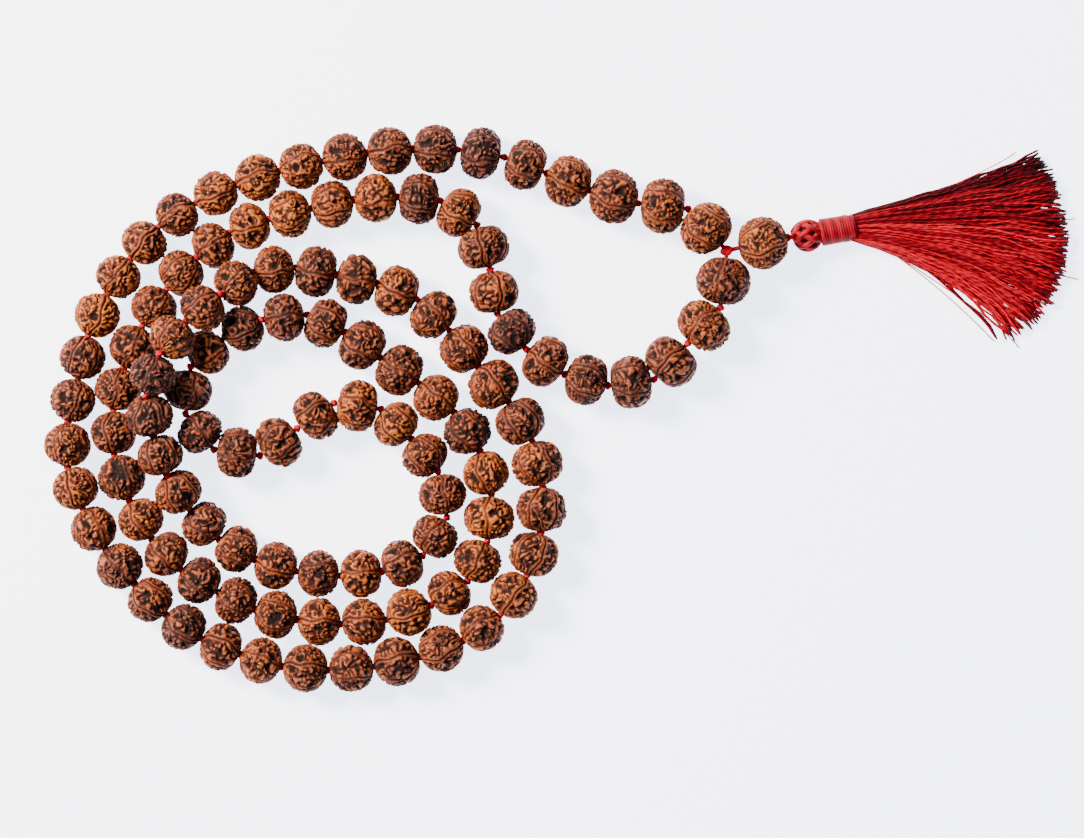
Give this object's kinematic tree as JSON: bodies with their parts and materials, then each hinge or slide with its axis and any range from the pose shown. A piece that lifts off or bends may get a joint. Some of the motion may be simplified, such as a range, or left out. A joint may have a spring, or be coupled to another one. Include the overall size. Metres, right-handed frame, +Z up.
{
  "type": "mala prayer beads",
  "caption": "String of rugged brown rudraksha seed beads knotted on a red cord, with a guru bead and a fanned red tassel, lying coiled in a doubled loop.",
  "frame": {"origin": "on the table under the middle of the whole piece's box", "axes": "+X along the length, from the far end of the coil towards the tassel; +Y across it; +Z up from the table"},
  "size_m": [0.1724, 0.0944, 0.0139],
  "materials": {
    "rudraksha_seed": "dry rugged seed stone, dark in the furrows and polished by handling on the ridges",
    "red_cotton_cord": "twisted cotton cord, matt",
    "red_tassel_thread": "twisted viscose thread with a soft sheen"
  },
  "bodies": {
    "strand": {"strand_cord": "red_cotton_cord", "strand_knots": "red_cotton_cord", "beads_row_inner_top": "rudraksha_seed", "beads_row_inner_bottom": "rudraksha_seed", "beads_row_middle": "rudraksha_seed", "beads_row_lower": "rudraksha_seed", "beads_row_upper": "rudraksha_seed"},
    "end_loop": {"loop_cord": "red_cotton_cord", "loop_knots": "red_cotton_cord", "junction_knot": "red_cotton_cord", "guru_cord": "red_cotton_cord"},
    "guru": {"guru_bead": "rudraksha_seed"},
    "tassel_neck": {"neck_knot": "red_cotton_cord"},
    "tassel": {"tassel_neck_cord": "red_cotton_cord", "tassel_head": "red_tassel_thread", "tassel_collar": "red_tassel_thread", "tassel_skirt": "red_tassel_thread"},
    "bead_001": {"bead_001": "rudraksha_seed"},
    "bead_002": {"bead_002": "rudraksha_seed"},
    "bead_003": {"bead_003": "rudraksha_seed"},
    "bead_004": {"bead_004": "rudraksha_seed"},
    "bead_005": {"bead_005": "rudraksha_seed"},
    "bead_006": {"bead_006": "rudraksha_seed"},
    "bead_007": {"bead_007": "rudraksha_seed"},
    "bead_008": {"bead_008": "rudraksha_seed"},
    "bead_009": {"bead_009": "rudraksha_seed"},
    "bead_010": {"bead_010": "rudraksha_seed"},
    "bead_011": {"bead_011": "rudraksha_seed"},
    "bead_012": {"bead_012": "rudraksha_seed"},
    "bead_013": {"bead_013": "rudraksha_seed"},
    "bead_014": {"bead_014": "rudraksha_seed"},
    "bead_015": {"bead_015": "rudraksha_seed"},
    "bead_016": {"bead_016": "rudraksha_seed"},
    "bead_017": {"bead_017": "rudraksha_seed"},
    "bead_018": {"bead_018": "rudraksha_seed"},
    "bead_019": {"bead_019": "rudraksha_seed"},
    "bead_020": {"bead_020": "rudraksha_seed"},
    "bead_021": {"bead_021": "rudraksha_seed"},
    "bead_022": {"bead_022": "rudraksha_seed"},
    "bead_023": {"bead_023": "rudraksha_seed"},
    "bead_024": {"bead_024": "rudraksha_seed"},
    "bead_025": {"bead_025": "rudraksha_seed"},
    "bead_026": {"bead_026": "rudraksha_seed"},
    "bead_027": {"bead_027": "rudraksha_seed"},
    "bead_028": {"bead_028": "rudraksha_seed"},
    "bead_029": {"bead_029": "rudraksha_seed"},
    "bead_030": {"bead_030": "rudraksha_seed"},
    "bead_031": {"bead_031": "rudraksha_seed"},
    "bead_032": {"bead_032": "rudraksha_seed"},
    "bead_033": {"bead_033": "rudraksha_seed"},
    "bead_034": {"bead_034": "rudraksha_seed"},
    "bead_035": {"bead_035": "rudraksha_seed"},
    "bead_036": {"bead_036": "rudraksha_seed"},
    "bead_037": {"bead_037": "rudraksha_seed"},
    "bead_103": {"bead_103": "rudraksha_seed"},
    "bead_104": {"bead_104": "rudraksha_seed"},
    "bead_105": {"bead_105": "rudraksha_seed"},
    "bead_106": {"bead_106": "rudraksha_seed"},
    "bead_107": {"bead_107": "rudraksha_seed"},
    "bead_108": {"bead_108": "rudraksha_seed"}
  },
  "joints": [
    {"name": "end_loop_lift", "type": "hinge", "parent": "strand", "child": "end_loop", "pos_m": [-0.0075, 0.02604, 0.00417], "axis": [0.1166, -0.9931, 0.0111], "range_deg": [0, 30]},
    {"name": "tassel_swing", "type": "hinge", "parent": "end_loop", "child": "tassel_neck", "pos_m": [0.03806, 0.02865, 0.00423], "axis": [0, 0, 1], "range_deg": [-30, 30]},
    {"name": "tassel_lift", "type": "hinge", "parent": "tassel_neck", "child": "tassel", "pos_m": [0.03806, 0.02865, 0.00423], "axis": [0, -1, 0], "range_deg": [0, 50]},
    {"name": "guru_bead_spin", "type": "hinge", "parent": "end_loop", "child": "guru", "pos_m": [0.0338, 0.02774, 0.00445], "axis": [0.9769, 0.2077, -0.0495], "continuous": true},
    {"name": "bead_001_spin", "type": "hinge", "parent": "end_loop", "child": "bead_001", "pos_m": [0.02431, 0.03017, 0.00455], "axis": [-0.6802, 0.7319, -0.0404], "continuous": true},
    {"name": "bead_002_spin", "type": "hinge", "parent": "end_loop", "child": "bead_002", "pos_m": [0.01712, 0.03388, 0.00433], "axis": [-0.9938, 0.1109, -0.0112], "continuous": true},
    {"name": "bead_003_spin", "type": "hinge", "parent": "end_loop", "child": "bead_003", "pos_m": [0.00896, 0.03543, 0.00423], "axis": [-0.9645, 0.2638, -0.0122], "continuous": true},
    {"name": "bead_004_spin", "type": "hinge", "parent": "end_loop", "child": "bead_004", "pos_m": [0.00136, 0.03795, 0.004], "axis": [-0.9284, 0.3686, -0.0462], "continuous": true},
    {"name": "bead_005_spin", "type": "hinge", "parent": "end_loop", "child": "bead_005", "pos_m": [-0.00582, 0.04072, 0.00391], "axis": [-0.9367, 0.3495, 0.0233], "continuous": true},
    {"name": "bead_006_spin", "type": "hinge", "parent": "strand", "child": "bead_006", "pos_m": [-0.01323, 0.04267, 0.004], "axis": [-0.9872, 0.1596, 0.0014], "continuous": true},
    {"name": "bead_007_spin", "type": "hinge", "parent": "strand", "child": "bead_007", "pos_m": [-0.02081, 0.04334, 0.00384], "axis": [-0.9989, 0.0134, -0.0441], "continuous": true},
    {"name": "bead_008_spin", "type": "hinge", "parent": "strand", "child": "bead_008", "pos_m": [-0.02835, 0.04305, 0.00392], "axis": [-0.994, -0.0886, 0.0647], "continuous": true},
    {"name": "bead_009_spin", "type": "hinge", "parent": "strand", "child": "bead_009", "pos_m": [-0.03586, 0.04204, 0.00391], "axis": [-0.9814, -0.179, -0.0693], "continuous": true},
    {"name": "bead_010_spin", "type": "hinge", "parent": "strand", "child": "bead_010", "pos_m": [-0.04316, 0.04055, 0.00379], "axis": [-0.9747, -0.2203, 0.0383], "continuous": true},
    {"name": "bead_011_spin", "type": "hinge", "parent": "strand", "child": "bead_011", "pos_m": [-0.05041, 0.03864, 0.00392], "axis": [-0.9576, -0.2879, -0.0028], "continuous": true},
    {"name": "bead_012_spin", "type": "hinge", "parent": "strand", "child": "bead_012", "pos_m": [-0.0574, 0.03597, 0.00379], "axis": [-0.9036, -0.4271, -0.0332], "continuous": true},
    {"name": "bead_013_spin", "type": "hinge", "parent": "strand", "child": "bead_013", "pos_m": [-0.06384, 0.0324, 0.0038], "axis": [-0.8423, -0.5378, 0.0358], "continuous": true},
    {"name": "bead_014_spin", "type": "hinge", "parent": "strand", "child": "bead_014", "pos_m": [-0.06927, 0.02778, 0.00387], "axis": [-0.6601, -0.751, -0.0168], "continuous": true},
    {"name": "bead_015_spin", "type": "hinge", "parent": "strand", "child": "bead_015", "pos_m": [-0.07359, 0.02212, 0.00372], "axis": [-0.5537, -0.8323, -0.0244], "continuous": true},
    {"name": "bead_016_spin", "type": "hinge", "parent": "strand", "child": "bead_016", "pos_m": [-0.07715, 0.0157, 0.00385], "axis": [-0.4124, -0.9091, 0.0591], "continuous": true},
    {"name": "bead_017_spin", "type": "hinge", "parent": "strand", "child": "bead_017", "pos_m": [-0.07955, 0.00868, 0.00382], "axis": [-0.2293, -0.9708, -0.0704], "continuous": true},
    {"name": "bead_018_spin", "type": "hinge", "parent": "strand", "child": "bead_018", "pos_m": [-0.08122, 0.0015, 0.00377], "axis": [-0.2227, -0.9731, 0.0588], "continuous": true},
    {"name": "bead_019_spin", "type": "hinge", "parent": "strand", "child": "bead_019", "pos_m": [-0.08205, -0.00589, 0.00392], "axis": [-0.0049, -0.9999, -0.0165], "continuous": true},
    {"name": "bead_020_spin", "type": "hinge", "parent": "strand", "child": "bead_020", "pos_m": [-0.0808, -0.01318, 0.0038], "axis": [0.3449, -0.9385, -0.0157], "continuous": true},
    {"name": "bead_021_spin", "type": "hinge", "parent": "strand", "child": "bead_021", "pos_m": [-0.07767, -0.01992, 0.00389], "axis": [0.4931, -0.8691, 0.0389], "continuous": true},
    {"name": "bead_022_spin", "type": "hinge", "parent": "strand", "child": "bead_022", "pos_m": [-0.07338, -0.02614, 0.00395], "axis": [0.6367, -0.7708, -0.0235], "continuous": true},
    {"name": "bead_023_spin", "type": "hinge", "parent": "strand", "child": "bead_023", "pos_m": [-0.06831, -0.03168, 0.00383], "axis": [0.7119, -0.7022, -0.0065], "continuous": true},
    {"name": "bead_024_spin", "type": "hinge", "parent": "strand", "child": "bead_024", "pos_m": [-0.0627, -0.03624, 0.00399], "axis": [0.834, -0.5494, 0.0517], "continuous": true},
    {"name": "bead_025_spin", "type": "hinge", "parent": "strand", "child": "bead_025", "pos_m": [-0.05652, -0.03952, 0.00391], "axis": [0.9218, -0.38, -0.0775], "continuous": true},
    {"name": "bead_026_spin", "type": "hinge", "parent": "strand", "child": "bead_026", "pos_m": [-0.04983, -0.04184, 0.0039], "axis": [0.9586, -0.2749, 0.0736], "continuous": true},
    {"name": "bead_027_spin", "type": "hinge", "parent": "strand", "child": "bead_027", "pos_m": [-0.04244, -0.04316, 0.00402], "axis": [0.9959, -0.0813, -0.0396], "continuous": true},
    {"name": "bead_028_spin", "type": "hinge", "parent": "strand", "child": "bead_028", "pos_m": [-0.03478, -0.04318, 0.00388], "axis": [0.9969, 0.0791, 0.0038], "continuous": true},
    {"name": "bead_029_spin", "type": "hinge", "parent": "strand", "child": "bead_029", "pos_m": [-0.02723, -0.04206, 0.00398], "axis": [0.9769, 0.2125, 0.0244], "continuous": true},
    {"name": "bead_030_spin", "type": "hinge", "parent": "strand", "child": "bead_030", "pos_m": [-0.01981, -0.03989, 0.00397], "axis": [0.9379, 0.3457, -0.0285], "continuous": true},
    {"name": "bead_031_spin", "type": "hinge", "parent": "strand", "child": "bead_031", "pos_m": [-0.01308, -0.0364, 0.00395], "axis": [0.8206, 0.5711, 0.023], "continuous": true},
    {"name": "bead_032_spin", "type": "hinge", "parent": "strand", "child": "bead_032", "pos_m": [-0.00776, -0.03099, 0.00403], "axis": [0.5622, 0.827, -0.0011], "continuous": true},
    {"name": "bead_033_spin", "type": "hinge", "parent": "strand", "child": "bead_033", "pos_m": [-0.00438, -0.02413, 0.00393], "axis": [0.3101, 0.9504, -0.0236], "continuous": true},
    {"name": "bead_034_spin", "type": "hinge", "parent": "strand", "child": "bead_034", "pos_m": [-0.00303, -0.01668, 0.00394], "axis": [0.0439, 0.9987, 0.0259], "continuous": true},
    {"name": "bead_035_spin", "type": "hinge", "parent": "strand", "child": "bead_035", "pos_m": [-0.00375, -0.00903, 0.00401], "axis": [-0.2277, 0.9737, -0.0089], "continuous": true},
    {"name": "bead_036_spin", "type": "hinge", "parent": "strand", "child": "bead_036", "pos_m": [-0.00659, -0.002, 0.00387], "axis": [-0.5158, 0.8563, -0.0271], "continuous": true},
    {"name": "bead_037_spin", "type": "hinge", "parent": "strand", "child": "bead_037", "pos_m": [-0.01108, 0.00418, 0.00401], "axis": [-0.6533, 0.7546, 0.0614], "continuous": true},
    {"name": "bead_103_spin", "type": "hinge", "parent": "end_loop", "child": "bead_103", "pos_m": [-0.00245, 0.00795, 0.00402], "axis": [0.8332, -0.5462, -0.0863], "continuous": true},
    {"name": "bead_104_spin", "type": "hinge", "parent": "end_loop", "child": "bead_104", "pos_m": [0.00438, 0.00492, 0.00389], "axis": [0.9665, -0.2516, 0.0503], "continuous": true},
    {"name": "bead_105_spin", "type": "hinge", "parent": "end_loop", "child": "bead_105", "pos_m": [0.01186, 0.00447, 0.00407], "axis": [0.9912, 0.1326, -0.001], "continuous": true},
    {"name": "bead_106_spin", "type": "hinge", "parent": "end_loop", "child": "bead_106", "pos_m": [0.01845, 0.00797, 0.00418], "axis": [0.6795, 0.7332, 0.0267], "continuous": true},
    {"name": "bead_107_spin", "type": "hinge", "parent": "end_loop", "child": "bead_107", "pos_m": [0.02398, 0.01396, 0.00436], "axis": [0.6773, 0.7355, 0.0171], "continuous": true},
    {"name": "bead_108_spin", "type": "hinge", "parent": "end_loop", "child": "bead_108", "pos_m": [0.02721, 0.02138, 0.00458], "axis": [0.1068, 0.9937, 0.0345], "continuous": true}
  ]
}
